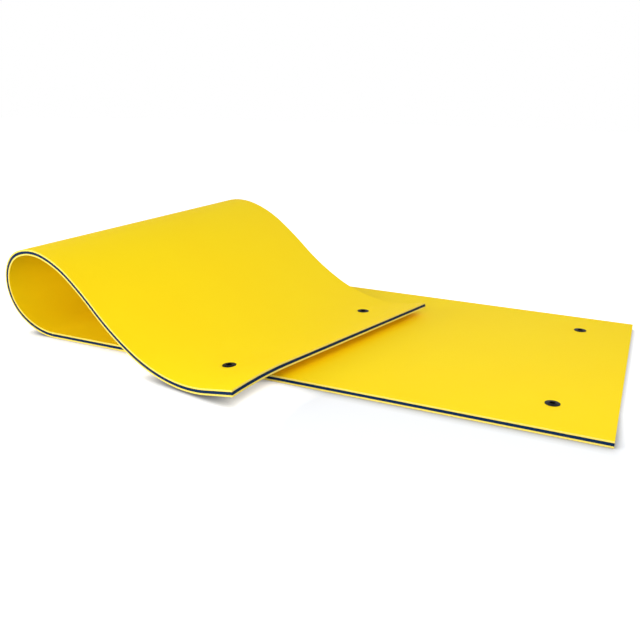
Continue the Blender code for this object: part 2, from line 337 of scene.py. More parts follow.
# %% [markdown]
# ## Colours and a helper for nodes
#
# Colours are given as they look on a screen, in sRGB hex, and one function turns them to the
# linear values that the renderer works in. The helper adds one node to a tree, sets what it is
# told, links what it is handed, and hands back the socket that comes out first.


# %% Colour and node helpers
def linear(hex_colour):
    """An sRGB hex colour as linear red, green, blue and alpha."""
    shares = [int(hex_colour[i : i + 2], 16) / 255 for i in (1, 3, 5)]
    bright = [s / 12.92 if s <= 0.04045 else ((s + 0.055) / 1.055) ** 2.4 for s in shares]
    return (*bright, 1.0)


def add(tree, kind, inputs=None, **settings):
    """Adds a node and returns its first socket out. Each input gets a value or a link."""
    node = tree.nodes.new(kind)
    for name, value in settings.items():
        setattr(node, name, value)
    in_use = [socket for socket in node.inputs if socket.enabled]
    for key, value in (inputs or {}).items():
        found = in_use[key] if isinstance(key, int) else next(s for s in in_use if s.name == key)
        if isinstance(value, bpy.types.NodeSocket):
            tree.links.new(value, found)
        else:
            found.default_value = value
    return next((socket for socket in node.outputs if socket.enabled), None)


# foam and paper shine less than the lacquered look that the shader starts from
SOFT_GLOSS = 0.12


def new_finish(name, roughness):
    """A material with a Principled shader, its tree, and the shader's inputs."""
    made = bpy.data.materials.new(name)
    made.use_nodes = True
    shader = made.node_tree.nodes["Principled BSDF"]
    shader.inputs["Roughness"].default_value = roughness
    shader.inputs["Specular IOR Level"].default_value = SOFT_GLOSS
    return made, made.node_tree, shader.inputs


# %% [markdown]
# ## The foam's finishes
#
# The foam is cross-linked polyethylene, blown into closed cells about a millimetre across. Where
# the sheet was rolled, the cells are covered by a smooth, slightly waxy skin. Where the slab was
# cut to size, the knife opened the cells, so the cut face is rougher, paler and has no sheen.
# That pale rim draws the bright lines along the mat's edges, and it is drawn paler than the opened
# cells alone would make it, so it is partly painted highlight. Skin and cut face get a material
# each. We guess that the knife also drags a little navy over both neighbours of the core, because
# the dark line looks wider than a third of the edge.
#
# Both patterns are drawn on the flat sheet's own coordinates, which every point of the foam
# carries as an attribute, so they bend with the mat and run on from piece to piece.

# %% Sizes of the foam's patterns
CELL_SIZE = 0.0030  # real cells are about 1 mm, drawn coarser so that they show
SKIN_WAVE = 0.055
MOTTLE_SIZE = 0.40
KNIFE_SMEAR = 0.0021
WAVE_RELIEF = {"Strength": 0.35, "Distance": 0.0020}
SKIN_RELIEF = {"Strength": 0.60, "Distance": 0.0006}
CUT_RELIEF = {"Strength": 0.5, "Distance": 0.0008}
SKIN_ROUGHNESS, CUT_ROUGHNESS = 0.68, 0.85


# %% Rolled skin
def foam_skin(name, dark, light):
    """Rolled skin of closed-cell foam: a waxy gloss, shallow waves and a trace of the cells."""
    made, tree, shader = new_finish(name, SKIN_ROUGHNESS)
    sheet = add(tree, "ShaderNodeAttribute", attribute_name="sheet").node.outputs["Vector"]
    mottle = add(tree, "ShaderNodeTexNoise", {"Vector": sheet, "Scale": 1 / MOTTLE_SIZE})
    colours = {"Factor": mottle, "A": linear(dark), "B": linear(light)}
    colour = add(tree, "ShaderNodeMix", colours, data_type="RGBA")
    waves = add(tree, "ShaderNodeTexNoise", {"Vector": sheet, "Scale": 1 / SKIN_WAVE})
    wavy = add(tree, "ShaderNodeBump", {"Height": waves, **WAVE_RELIEF})
    cells = add(tree, "ShaderNodeTexVoronoi", {"Vector": sheet, "Scale": 1 / CELL_SIZE})
    pitted = add(tree, "ShaderNodeBump", {"Height": cells, **SKIN_RELIEF, "Normal": wavy})
    tree.links.new(colour, shader["Base Color"])
    tree.links.new(pitted, shader["Normal"])
    return made


# %% Knife-cut face
def cut_foam(name, dark, light, smear):
    """A knife-cut face of closed-cell foam: open cells, darker inside than on their walls. Next
    to the core the cells are smeared with another colour."""
    made, tree, shader = new_finish(name, CUT_ROUGHNESS)
    sheet = add(tree, "ShaderNodeAttribute", attribute_name="sheet").node.outputs["Vector"]
    cells = add(tree, "ShaderNodeTexVoronoi", {"Vector": sheet, "Scale": 1 / CELL_SIZE})
    colours = {"Factor": cells, "A": linear(dark), "B": linear(light)}
    colour = add(tree, "ShaderNodeMix", colours, data_type="RGBA")
    height = add(tree, "ShaderNodeSeparateXYZ", {0: sheet}).node.outputs["Z"]
    near_core = {0: height, 1: MAT_THICKNESS / 2, 2: LAYER_THICKNESS / 2 + KNIFE_SMEAR}
    smeared = add(tree, "ShaderNodeMath", near_core, operation="COMPARE")
    stained = {"Factor": smeared, "A": colour, "B": linear(smear)}
    stain = add(tree, "ShaderNodeMix", stained, data_type="RGBA")
    pitted = add(tree, "ShaderNodeBump", {"Height": cells, **CUT_RELIEF})
    tree.links.new(stain, shader["Base Color"])
    tree.links.new(pitted, shader["Normal"])
    return made


YELLOW_SKIN = foam_skin("rolled_polyethylene_foam_skin_yellow", "#FFDB02", "#FFE006")
# the pale cut yellows are partly painted highlight, for the bright lines along the mat's edges
YELLOW_CUT = cut_foam("knife_cut_polyethylene_foam_yellow", "#EAD048", "#F5E078", "#0A2640")
NAVY_SKIN = foam_skin("rolled_polyethylene_foam_skin_navy", "#031A50", "#062058")
NAVY_CUT = cut_foam("knife_cut_polyethylene_foam_navy", "#051C3C", "#0C3050", "#082646")
print("foam finishes:", YELLOW_SKIN.name, YELLOW_CUT.name, NAVY_SKIN.name, NAVY_CUT.name)

# %% [markdown]
# ## The fold as a guide
#
# A Geometry Nodes tree will do the bending. It needs the placing matrices, so we hand it a guide:
# a mesh with one loose point for each crease, which carries that crease's matrix as an attribute.
# A second guide has a point at the middle of each grommet, so that the tree can tell how far each
# point of the foam is from the nearest one.


# %% Guides for the tree
def put(name, data):
    """A new object in the scene, made of a mesh, a camera or a lamp."""
    obj = bpy.data.objects.new(name, data)
    bpy.context.scene.collection.objects.link(obj)
    return obj


def loose_points(name, points):
    """An object whose mesh is loose points, for a tree to read."""
    mesh = bpy.data.meshes.new(name)
    mesh.from_pydata(points, [], [])
    return put(name, mesh)


crease_guide = loose_points("crease_guide", [(crease, 0.0, 0.0) for crease in CREASES])
matrices = crease_guide.data.attributes.new("placing", "FLOAT4X4", "POINT")
# a matrix attribute is stored column by column
matrices.data.foreach_set("value", placings.transpose(0, 2, 1).astype(np.float32).ravel())
grommet_middles = [(u, v, 0.0) for u, v in GROMMET_SPOTS.values()]
grommet_guide = loose_points("grommet_guide", grommet_middles)
print("creases in the guide:", len(crease_guide.data.vertices))

# %% [markdown]
# ## A tree that makes a layer
#
# The layer follows a rule, so it is made by Geometry Nodes and not by hand. The tree raises the
# flat plan to the layer's thickness, squeezes it towards the middle round each grommet, and then
# moves every point by its crease's matrix. It works for any layer and any stretch of the mat:
# only its inputs change.

# %% Inputs of the tree
FOAM_INPUTS = {
    "Plan": "Geometry",
    "Crease guide": "Object",
    "Grommet guide": "Object",
    "Low": "Float",
    "Thickness": "Float",
    "Middle": "Vector",
    "Half size": "Vector",
    "Slab thickness": "Float",
    "Back seat": "Float",
    "Front seat": "Float",
    "Pinch start": "Float",
    "Pinch end": "Float",
    "Fan along": "Float",
    "Fan away": "Float",
    "First crease": "Float",
    "Second crease": "Float",
    "Frame shift": "Vector",
    "Run edge": "Float",
    "Droop start": "Float",
    "Droop end": "Float",
    "Droop diameter": "Float",
    "Skin": "Material",
    "Cut face": "Material",
}
bending = bpy.data.node_groups.new("bend_foam_layer", "GeometryNodeTree")
foam_sockets = {}
for label, kind in FOAM_INPUTS.items():
    foam_sockets[label] = bending.interface.new_socket(
        label, in_out="INPUT", socket_type="NodeSocket" + kind
    )
bending.interface.new_socket("Foam", in_out="OUTPUT", socket_type="NodeSocketGeometry")
given = bending.nodes.new("NodeGroupInput").outputs
print("inputs of the tree:", len(foam_sockets))

# %% [markdown]
# First the thickness. Extrude Mesh lifts the plan and draws walls behind it, but leaves the layer
# open below, so a turned-over copy of the plan closes it. The walls are marked: they are the
# faces that a knife cut.

# %% Raise the plan to a layer
base_offset = add(bending, "ShaderNodeCombineXYZ", {"Z": given["Low"]})
base = add(bending, "GeometryNodeSetPosition", {"Geometry": given["Plan"], "Offset": base_offset})
raising = {
    "Mesh": base,
    "Offset": (0.0, 0.0, 1.0),
    "Offset Scale": given["Thickness"],
    "Individual": False,
}
raised = add(bending, "GeometryNodeExtrudeMesh", raising, mode="FACES")
walls = add(
    bending,
    "GeometryNodeStoreNamedAttribute",
    {"Geometry": raised, "Name": "cut_face", "Value": raised.node.outputs["Side"]},
    data_type="BOOLEAN",
    domain="FACE",
)
turned_over = add(bending, "GeometryNodeFlipFaces", {"Mesh": base})
both = bending.nodes.new("GeometryNodeJoinGeometry")
bending.links.new(walls, both.inputs[0])
bending.links.new(turned_over, both.inputs[0])
MERGE_DISTANCE = 0.00001
merging = {"Geometry": both.outputs[0], "Distance": MERGE_DISTANCE}
closed = add(bending, "GeometryNodeMergeByDistance", merging)

# %% [markdown]
# The mat's own rims are marked, for a small rounding later. Measured from the middle of the slab, a
# point lies on a face of its box where it is half a size away. A rim is where the outline of the
# mat and the upper or lower face of the slab meet, so both must be half a size away. The seams
# between the layers stay sharp, because there the sheets are welded to each other.

# %% Mark the rims and keep the flat coordinates
position = add(bending, "GeometryNodeInputPosition")
flat = add(bending, "ShaderNodeSeparateXYZ", {0: position}).node.outputs
centred = add(
    bending, "ShaderNodeVectorMath", {0: position, 1: given["Middle"]}, operation="SUBTRACT"
)
away = add(bending, "ShaderNodeVectorMath", {0: centred}, operation="ABSOLUTE")
beyond_faces = add(
    bending, "ShaderNodeVectorMath", {0: away, 1: given["Half size"]}, operation="SUBTRACT"
)
beyond = add(bending, "ShaderNodeSeparateXYZ", {0: beyond_faces}).node.outputs
beyond_outline = add(
    bending, "ShaderNodeMath", {0: beyond["X"], 1: beyond["Y"]}, operation="MAXIMUM"
)
beyond_rim = add(
    bending, "ShaderNodeMath", {0: beyond_outline, 1: beyond["Z"]}, operation="MINIMUM"
)
rim = add(
    bending, "ShaderNodeMath", {0: beyond_rim, 1: -MERGE_DISTANCE}, operation="GREATER_THAN"
)
marked = add(
    bending,
    "GeometryNodeStoreNamedAttribute",
    {"Geometry": closed, "Name": "bevel_weight_edge", "Value": rim},
    data_type="FLOAT",
    domain="EDGE",
)
sheet = add(
    bending,
    "GeometryNodeStoreNamedAttribute",
    {"Geometry": marked, "Name": "sheet", "Value": position},
    data_type="FLOAT_VECTOR",
    domain="POINT",
)

# %% [markdown]
# Then the pinch. A grommet's two flanges squeeze the slab, most under the flanges and less and
# less around them. Each point looks up its distance from the nearest grommet, and is moved by that
# much towards the heights that the flanges hold.

# %% Squeeze the foam round the grommets
PINCH_REACH = 0.026
PINCH_FALL = 2.0
grommet_points = add(
    bending, "GeometryNodeObjectInfo", {"Object": given["Grommet guide"]}
).node.outputs["Geometry"]
on_plan = add(bending, "ShaderNodeCombineXYZ", {"X": flat["X"], "Y": flat["Y"]})
nearest = add(
    bending,
    "GeometryNodeProximity",
    {0: grommet_points, "Sample Position": on_plan},
    target_element="POINTS",
)
fading = {
    "Value": nearest.node.outputs["Distance"],
    "From Min": given["Pinch start"],
    "From Max": given["Pinch end"],
    "To Min": 1.0,
    "To Max": 0.0,
}
fade = add(bending, "ShaderNodeMapRange", fading)
grip = add(bending, "ShaderNodeMath", {0: fade, 1: PINCH_FALL}, operation="POWER")
squeezing = {
    "Value": flat["Z"],
    "From Min": 0.0,
    "From Max": given["Slab thickness"],
    "To Min": given["Back seat"],
    "To Max": given["Front seat"],
}
squeezed = add(bending, "ShaderNodeMapRange", squeezing)
pinched = add(
    bending, "ShaderNodeMix", {"Factor": grip, "A": flat["Z"], "B": squeezed}, data_type="FLOAT"
)
pinched_place = add(
    bending, "ShaderNodeCombineXYZ", {"X": flat["X"], "Y": flat["Y"], "Z": pinched}
)

# %% [markdown]
# Last the bend. The crease through a point follows from similar triangles, since all creases meet
# in the far point. The point is then moved by the matrices of the two nearest creases in the
# guide, and takes the share of each that its place between them gives.

# %% Find the crease through each point
from_middle = add(bending, "ShaderNodeSeparateXYZ", {0: centred}).node.outputs
across = add(
    bending, "ShaderNodeMath", {0: from_middle["Y"], 1: given["Fan away"]}, operation="DIVIDE"
)
leaning = add(
    bending,
    "ShaderNodeMath",
    {0: across, 1: given["Fan along"], 2: flat["X"]},
    operation="MULTIPLY_ADD",
)
narrowing = add(bending, "ShaderNodeMath", {0: across, 1: 1.0}, operation="ADD")
crease = add(bending, "ShaderNodeMath", {0: leaning, 1: narrowing}, operation="DIVIDE")
counting = {
    "Value": crease,
    "From Min": given["First crease"],
    "From Max": given["Second crease"],
    "To Min": 0.0,
    "To Max": 1.0,
}
steps = add(bending, "ShaderNodeMapRange", counting, clamp=False)
step_share = add(bending, "ShaderNodeMath", {0: steps}, operation="FRACT")
index = add(bending, "FunctionNodeFloatToInt", {0: steps}, rounding_mode="FLOOR")
following = add(bending, "FunctionNodeIntegerMath", {0: index, 1: 1}, operation="ADD")

# %% Move each point by its creases' matrices
creases = add(
    bending, "GeometryNodeObjectInfo", {"Object": given["Crease guide"]}
).node.outputs["Geometry"]
placing = add(bending, "GeometryNodeInputNamedAttribute", {"Name": "placing"}, data_type="FLOAT4X4")
moved = []
for number in (index, following):
    matrix = add(
        bending,
        "GeometryNodeSampleIndex",
        {"Geometry": creases, "Value": placing, "Index": number},
        data_type="FLOAT4X4",
        domain="POINT",
        clamp=True,
    )
    moving = {"Vector": pinched_place, "Transform": matrix}
    moved.append(add(bending, "FunctionNodeTransformPoint", moving))
bent = add(
    bending,
    "ShaderNodeMix",
    {"Factor": step_share, "A": moved[0], "B": moved[1]},
    data_type="VECTOR",
)

# %% Turn to the frame and let the overhanging strip droop
in_frame = add(
    bending,
    "ShaderNodeVectorMath",
    {0: bent, 1: (-1.0, 1.0, 1.0), 2: given["Frame shift"]},
    operation="MULTIPLY_ADD",
)
framed = add(bending, "ShaderNodeSeparateXYZ", {0: in_frame}).node.outputs
past_edge = add(
    bending, "ShaderNodeMath", {0: given["Run edge"], 1: framed["Y"]}, operation="SUBTRACT"
)
overhang = add(bending, "ShaderNodeMath", {0: past_edge, 1: 0.0}, operation="MAXIMUM")
squared = add(bending, "ShaderNodeMath", {0: overhang, 1: 2.0}, operation="POWER")
sag = add(
    bending, "ShaderNodeMath", {0: squared, 1: given["Droop diameter"]}, operation="DIVIDE"
)
hanging = add(
    bending,
    "ShaderNodeMapRange",
    {"Value": crease, "From Min": given["Droop start"], "From Max": given["Droop end"]},
    interpolation_type="SMOOTHSTEP",
)
droop = add(bending, "ShaderNodeMath", {0: hanging, 1: sag}, operation="MULTIPLY")
drop = add(bending, "ShaderNodeCombineXYZ", {"Z": droop})
place = add(bending, "ShaderNodeVectorMath", {0: in_frame, 1: drop}, operation="SUBTRACT")
folded = add(bending, "GeometryNodeSetPosition", {"Geometry": sheet, "Position": place})

# %% Finish the tree
was_cut = add(bending, "GeometryNodeInputNamedAttribute", {"Name": "cut_face"}, data_type="BOOLEAN")
real = add(bending, "GeometryNodeRealizeInstances", {"Geometry": folded})
skinned = add(bending, "GeometryNodeSetMaterial", {"Geometry": real, "Material": given["Skin"]})
finished = add(
    bending,
    "GeometryNodeSetMaterial",
    {"Geometry": skinned, "Selection": was_cut, "Material": given["Cut face"]},
)
bending.links.new(finished, bending.nodes.new("NodeGroupOutput").inputs[0])
print("nodes in the tree:", len(bending.nodes))

# %% [markdown]
# ## The three layers in three stretches
#
# The real layers are unbroken. Here each one is drawn in three stretches: one that stays on the
# ground and in the loop, one round the hinge where the loop ends, and the free end. Their
# neighbouring edges fall on the same crease, so no seam shows. A live modifier would be worked out
# again at each view, so its result is kept as a plain mesh and the modifier is taken off.

# %% Make a layer of one stretch
RIM_ROUNDING = 0.0008
RIM_SEGMENTS = 2
FOAM_SHARP = math.radians(20.0)


def keep_result(piece, sharp_angle, place=Matrix.Identity(4)):
    """Keeps what the modifiers make as a plain mesh in its place, and takes them off."""
    shown = piece.evaluated_get(bpy.context.evaluated_depsgraph_get())
    mesh = bpy.data.meshes.new_from_object(shown)
    piece.modifiers.clear()
    piece.data = mesh
    mesh.transform(place)
    mesh.shade_smooth()
    mesh.set_sharp_from_angle(angle=sharp_angle)
    return piece


def foam_layer(stretch, layer, low, high, skin, cut):
    """One stretch of one layer, bent to its place, with the mat's rims just broken."""
    piece = put(f"{stretch}_{layer}_foam", PLANS[stretch].copy())
    back_seat = BACK_SEATS["run" if stretch == "run" else "flap"]
    # one corner of the flat slab is the origin, so its middle is also half its size
    slab_middle = (MAT_LENGTH / 2, HALF_WIDTH, MAT_THICKNESS / 2)
    values = {
        "Crease guide": crease_guide,
        "Grommet guide": grommet_guide,
        "Low": low,
        "Thickness": high - low,
        "Middle": slab_middle,
        "Half size": slab_middle,
        "Slab thickness": MAT_THICKNESS,
        "Back seat": back_seat + FIT_GAP,
        "Front seat": back_seat + MAT_THICKNESS - FOAM_PINCH - FIT_GAP,
        "Pinch start": FLANGE_RADIUS,
        "Pinch end": FLANGE_RADIUS + PINCH_REACH,
        "Fan along": FAN_ALONG,
        "Fan away": FAN_AWAY,
        "First crease": float(CREASES[0]),
        "Second crease": float(CREASES[1]),
        "Frame shift": (FLAT_LENGTH / 2, -HALF_WIDTH, 0.0),
        "Run edge": -HALF_WIDTH,
        "Droop start": SLOPE_END,
        "Droop end": TOUCHDOWN_END,
        "Droop diameter": 2 * DROOP_RADIUS,
        "Skin": skin,
        "Cut face": cut,
    }
    bend = piece.modifiers.new("bend", "NODES")
    bend.node_group = bending
    for label, value in values.items():
        bend[foam_sockets[label].identifier] = value
    rounding = piece.modifiers.new("round", "BEVEL")
    rounding.limit_method = "WEIGHT"
    rounding.width = RIM_ROUNDING
    rounding.segments = RIM_SEGMENTS
    return keep_result(piece, FOAM_SHARP)


# %% Make all the layers
LAYERS = {
    "bottom": (0.0, LAYER_THICKNESS - LAMINATE_GAP / 2, YELLOW_SKIN, YELLOW_CUT),
    "core": (
        LAYER_THICKNESS + LAMINATE_GAP / 2,
        2 * LAYER_THICKNESS - LAMINATE_GAP / 2,
        NAVY_SKIN,
        NAVY_CUT,
    ),
    "top": (2 * LAYER_THICKNESS + LAMINATE_GAP / 2, MAT_THICKNESS, YELLOW_SKIN, YELLOW_CUT),
}
foam = {}
for stretch in ROWS:
    for layer, facts in LAYERS.items():
        foam[stretch, layer] = foam_layer(stretch, layer, *facts)
        print(foam[stretch, layer].name, "faces:", len(foam[stretch, layer].data.polygons))
for plan in PLANS.values():
    bpy.data.meshes.remove(plan)
bpy.data.objects.remove(crease_guide)
bpy.data.objects.remove(grommet_guide)

# %% [markdown]
# ## Which body each stretch follows
#
# The hinge of the model stands for the foam's own bending, at the crease where the loop ends. The
# stretch on the ground and the free end follow their bodies, and the middle stretch stays where it
# was bent. The hinge's middle, its direction and the direction square to it down the slope are
# worked out, and the hinge's place is printed next to that of the solids.

# %% Ride, and find the hinge
hinge_line = fold_points(
    [
        (row_u(SLOPE_START, 0.0), 0.0, 0.0),
        (row_u(SLOPE_START, MAT_WIDTH), MAT_WIDTH, 0.0),
        (SLOPE_START + FINE_STEP, HALF_WIDTH, 0.0),
    ],
    placings,
)
hinge_near, hinge_far, past_hinge = (Vector(point) for point in hinge_line)
hinge_middle = (hinge_near + hinge_far) / 2
hinge_direction = (hinge_far - hinge_near).normalized()
down_slope = past_hinge - hinge_middle
down_slope -= hinge_direction * down_slope.dot(hinge_direction)
down_slope.normalize()
for (stretch, layer), piece in foam.items():
    if stretch == "bend":
        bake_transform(piece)
        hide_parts(f"run_{layer}_layer", f"flap_{layer}_layer")
    else:
        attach(piece, stretch)
        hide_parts(f"{stretch}_{layer}_layer")
joint = frame["joints"][0]
print("hinge of the solids:", [round(x, 4) for x in joint["pos_m"]], "here:", hinge_middle[:])

# %% [markdown]
# ## The grommets
#
# Each grommet is two moulded parts: one has a flange and a barrel that goes through the foam, the
# other is a flange that snaps on to the barrel's end. A raised lip round the hole takes the wear
# of the tether. Both are round, so all that we need is half a cross-section. A lathe tree wraps a
# grid into a ring: one side of the grid follows the cross-section, the other goes round.

# %% Cross-sections of the two halves
FLANGE_THICKNESS = 0.0025
FLANGE_EDGE_ROUND = 0.0012
LIP_ROUND = 0.0015
LIP_LAND = 0.003
LIP_FOOT = 0.002
SNAP_BEAD_HEIGHT = 0.0005
SNAP_BEAD_LENGTH = 0.0010
ROUND_STEPS = 5


def arc(centre_r, centre_z, radius, start, end):
    """Points of a rounded corner, from one direction to another in degrees."""
    turns = [math.radians(start + (end - start) * i / ROUND_STEPS) for i in range(ROUND_STEPS + 1)]
    return [(centre_r + radius * math.cos(t), centre_z + radius * math.sin(t)) for t in turns]


def lip(inner_radius, seat):
    """The outer face of a flange: its lip, the hollow at the lip's foot and its rounded rim."""
    crown = seat + LIP_HEIGHT - LIP_ROUND
    rim = seat + FLANGE_THICKNESS
    land = inner_radius + LIP_ROUND + LIP_LAND
    edge = FLANGE_RADIUS - FLANGE_EDGE_ROUND
    return [
        *arc(inner_radius + LIP_ROUND, crown, LIP_ROUND, 180.0, 90.0),
        *arc(land, crown, LIP_ROUND, 90.0, 30.0),
        (land + LIP_ROUND + LIP_FOOT, rim),
        *arc(edge, rim - FLANGE_EDGE_ROUND, FLANGE_EDGE_ROUND, 90.0, 0.0),
        (FLANGE_RADIUS, seat),
    ]


def barrel_half(back_seat):
    """The half that comes in from the front: flange, barrel and snap bead, as (radius, height)."""
    front_seat = back_seat + MAT_THICKNESS - FOAM_PINCH
    bead_top = back_seat - (FLANGE_THICKNESS - SNAP_BEAD_LENGTH) / 2
    barrel_end = back_seat - FLANGE_THICKNESS
    return [
        (BORE_RADIUS, barrel_end),
        *lip(BORE_RADIUS, front_seat),
        (BARREL_RADIUS, front_seat),
        (BARREL_RADIUS, bead_top + SNAP_BEAD_HEIGHT),
        (BARREL_RADIUS + SNAP_BEAD_HEIGHT, bead_top),
        (BARREL_RADIUS, bead_top - SNAP_BEAD_LENGTH),
        (BARREL_RADIUS, barrel_end),
    ]


def ring_half(back_seat):
    """The half that snaps on from behind, with a groove for the bead."""
    inner = BARREL_RADIUS + FIT_GAP
    bead_top = back_seat - (FLANGE_THICKNESS - SNAP_BEAD_LENGTH) / 2
    return [
        *[(radius, back_seat - height) for radius, height in lip(inner, 0.0)],
        (inner, back_seat),
        (inner, bead_top + SNAP_BEAD_HEIGHT),
        (inner + SNAP_BEAD_HEIGHT, bead_top),
        (inner, bead_top - SNAP_BEAD_LENGTH),
    ]


print("corners of a barrel half:", len(barrel_half(BACK_SEATS["run"])))

# %% The lathe tree
lathe = bpy.data.node_groups.new("turn_cross_section", "GeometryNodeTree")
lathe_sockets = {}
for label, kind in (("Cross-section", "Geometry"), ("Sides", "Int"), ("Plastic", "Material")):
    lathe_sockets[label] = lathe.interface.new_socket(
        label, in_out="INPUT", socket_type="NodeSocket" + kind
    )
lathe.interface.new_socket("Ring", in_out="OUTPUT", socket_type="NodeSocketGeometry")
lathe_inputs = lathe.nodes.new("NodeGroupInput").outputs
section = lathe_inputs["Cross-section"]
corners = add(
    lathe, "GeometryNodeAttributeDomainSize", {"Geometry": section}, component="MESH"
)
rows_round = add(lathe, "ShaderNodeMath", {0: lathe_inputs["Sides"], 1: 1}, operation="ADD")
rows_along = add(lathe, "ShaderNodeMath", {0: corners, 1: 1}, operation="ADD")
grid = add(
    lathe, "GeometryNodeMeshGrid", {"Vertices X": rows_round, "Vertices Y": rows_along}
)
number = add(lathe, "GeometryNodeInputIndex")
turn = add(
    lathe, "FunctionNodeIntegerMath", {0: number, 1: rows_along}, operation="DIVIDE_FLOOR"
)
along = add(lathe, "FunctionNodeIntegerMath", {0: number, 1: rows_along}, operation="MODULO")
corner_number = add(lathe, "FunctionNodeIntegerMath", {0: along, 1: corners}, operation="MODULO")
corner = add(
    lathe,
    "GeometryNodeSampleIndex",
    {
        "Geometry": section,
        "Value": add(lathe, "GeometryNodeInputPosition"),
        "Index": corner_number,
    },
    data_type="FLOAT_VECTOR",
    domain="POINT",
)
share = add(lathe, "ShaderNodeMath", {0: turn, 1: lathe_inputs["Sides"]}, operation="DIVIDE")
angle = add(lathe, "ShaderNodeMath", {0: share, 1: 2 * math.pi}, operation="MULTIPLY")
on_ring = add(
    lathe,
    "ShaderNodeVectorRotate",
    {"Vector": corner, "Angle": angle},
    rotation_type="Z_AXIS",
)
wrapped = add(lathe, "GeometryNodeSetPosition", {"Geometry": grid, "Position": on_ring})
ring = add(
    lathe, "GeometryNodeMergeByDistance", {"Geometry": wrapped, "Distance": MERGE_DISTANCE}
)
plastic_ring = add(
    lathe,
    "GeometryNodeSetMaterial",
    {
        "Geometry": add(lathe, "GeometryNodeRealizeInstances", {"Geometry": ring}),
        "Material": lathe_inputs["Plastic"],
    },
)
lathe.links.new(plastic_ring, lathe.nodes.new("NodeGroupOutput").inputs[0])
print("nodes in the lathe tree:", len(lathe.nodes))

# %% [markdown]
# ## The grommets' plastic
#
# Outdoor grommets are mostly moulded in polypropylene, with carbon black against sunlight. We take
# the mould to be lightly spark-eroded, which leaves a fine grain: the lip shows a soft grey
# highlight, and the rest reads as black.

# %% Moulded polypropylene
MOULD_GRAIN = 0.0009  # real grain is about 0.2 mm, drawn coarser so that it shows
SCUFF_SIZE = 20 * MOULD_GRAIN
MOULD_GLOSS = 0.07
MOULD_ROUGHNESS = 0.46
POLYPROPYLENE_IOR = 1.49
GRAIN_RELIEF = {"Strength": 0.3, "Distance": 0.0002}


def moulded_plastic():
    """Black polypropylene from a spark-eroded mould: fine grain, and a broad, weak gloss."""
    made, tree, shader = new_finish("moulded_polypropylene_black", MOULD_ROUGHNESS)
    shader["IOR"].default_value = POLYPROPYLENE_IOR
    shader["Specular IOR Level"].default_value = MOULD_GLOSS
    place = add(tree, "ShaderNodeTexCoord").node.outputs["Object"]
    grain = add(tree, "ShaderNodeTexNoise", {"Vector": place, "Scale": 1 / MOULD_GRAIN})
    grained = add(tree, "ShaderNodeBump", {"Height": grain, **GRAIN_RELIEF})
    scuffs = add(tree, "ShaderNodeTexNoise", {"Vector": place, "Scale": 1 / SCUFF_SIZE})
    tones = {"Factor": scuffs, "A": linear("#040406"), "B": linear("#09090D")}
    tone = add(tree, "ShaderNodeMix", tones, data_type="RGBA")
    tree.links.new(tone, shader["Base Color"])
    tree.links.new(grained, shader["Normal"])
    return made


MOULDED_BLACK = moulded_plastic()
print("plastic finish:", MOULDED_BLACK.name)

# %% Turn the halves and set them in the foam
GROMMET_SIDES = 96
GROMMET_SHARP = math.radians(35.0)


def surface_frame(u, v):
    """The place on the folded mat's underside at (u, v), with its Z axis along the sheet's w."""
    r = FLANGE_RADIUS
    around = fold_points(
        [(u + r, v, 0.0), (u - r, v, 0.0), (u, v + r, 0.0), (u, v - r, 0.0)], placings
    )
    before, behind, left, right = (Vector(place) for place in around)
    ahead = before - behind
    upright = (left - right).cross(ahead).normalized()
    ahead = (ahead - upright * ahead.dot(upright)).normalized()
    turned = Matrix((ahead, upright.cross(ahead), upright)).transposed().to_4x4()
    turned.translation = Vector(fold_points((u, v, 0.0), placings)[0])
    return turned


def turned_piece(name, cross_section, place):
    """A ring turned from a cross-section and set in its place on the mat."""
    outline = bpy.data.meshes.new(name)
    outline.from_pydata([(radius, 0.0, height) for radius, height in cross_section], [], [])
    piece = put(name, outline)
    turning = piece.modifiers.new("turn", "NODES")
    turning.node_group = lathe
    turning[lathe_sockets["Sides"].identifier] = GROMMET_SIDES
    turning[lathe_sockets["Plastic"].identifier] = MOULDED_BLACK
    return keep_result(piece, GROMMET_SHARP, place)


for name, (u, v) in GROMMET_SPOTS.items():
    body = name.split("_")[0]
    place = surface_frame(u, v)
    for kind, half in (("grommet", barrel_half), ("grommet_ring", ring_half)):
        piece = turned_piece(f"{name}_turned_{kind}", half(BACK_SEATS[body]), place)
        node = f"{name}_{kind}"
        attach(piece, body)
        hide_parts(node)

# %% [markdown]
# ## The camera
#
# The camera stands where the photograph was taken from: low in front of the near edge, towards
# the end that lies flat, and turned a little to the left.

# %% Camera
CAMERA_PLACE = (1.441, -3.973, 1.402)
CAMERA_DOWN, CAMERA_LEFT, CAMERA_ROLL = 17.302, 23.872, 1.431
CAMERA_LENS, CAMERA_SENSOR = 41.48, 36.0

camera_data = bpy.data.cameras.new("camera")
camera_data.lens = CAMERA_LENS
camera_data.sensor_width = CAMERA_SENSOR
camera = put("camera", camera_data)
turn_left = Matrix.Rotation(math.radians(CAMERA_LEFT), 4, "Z")
look_down = Matrix.Rotation(math.radians(90.0 - CAMERA_DOWN), 4, "X")
roll = Matrix.Rotation(math.radians(CAMERA_ROLL), 4, "Z")
camera.matrix_world = Matrix.Translation(CAMERA_PLACE) @ turn_left @ look_down @ roll
bpy.context.scene.camera = camera
print("camera at", CAMERA_PLACE)
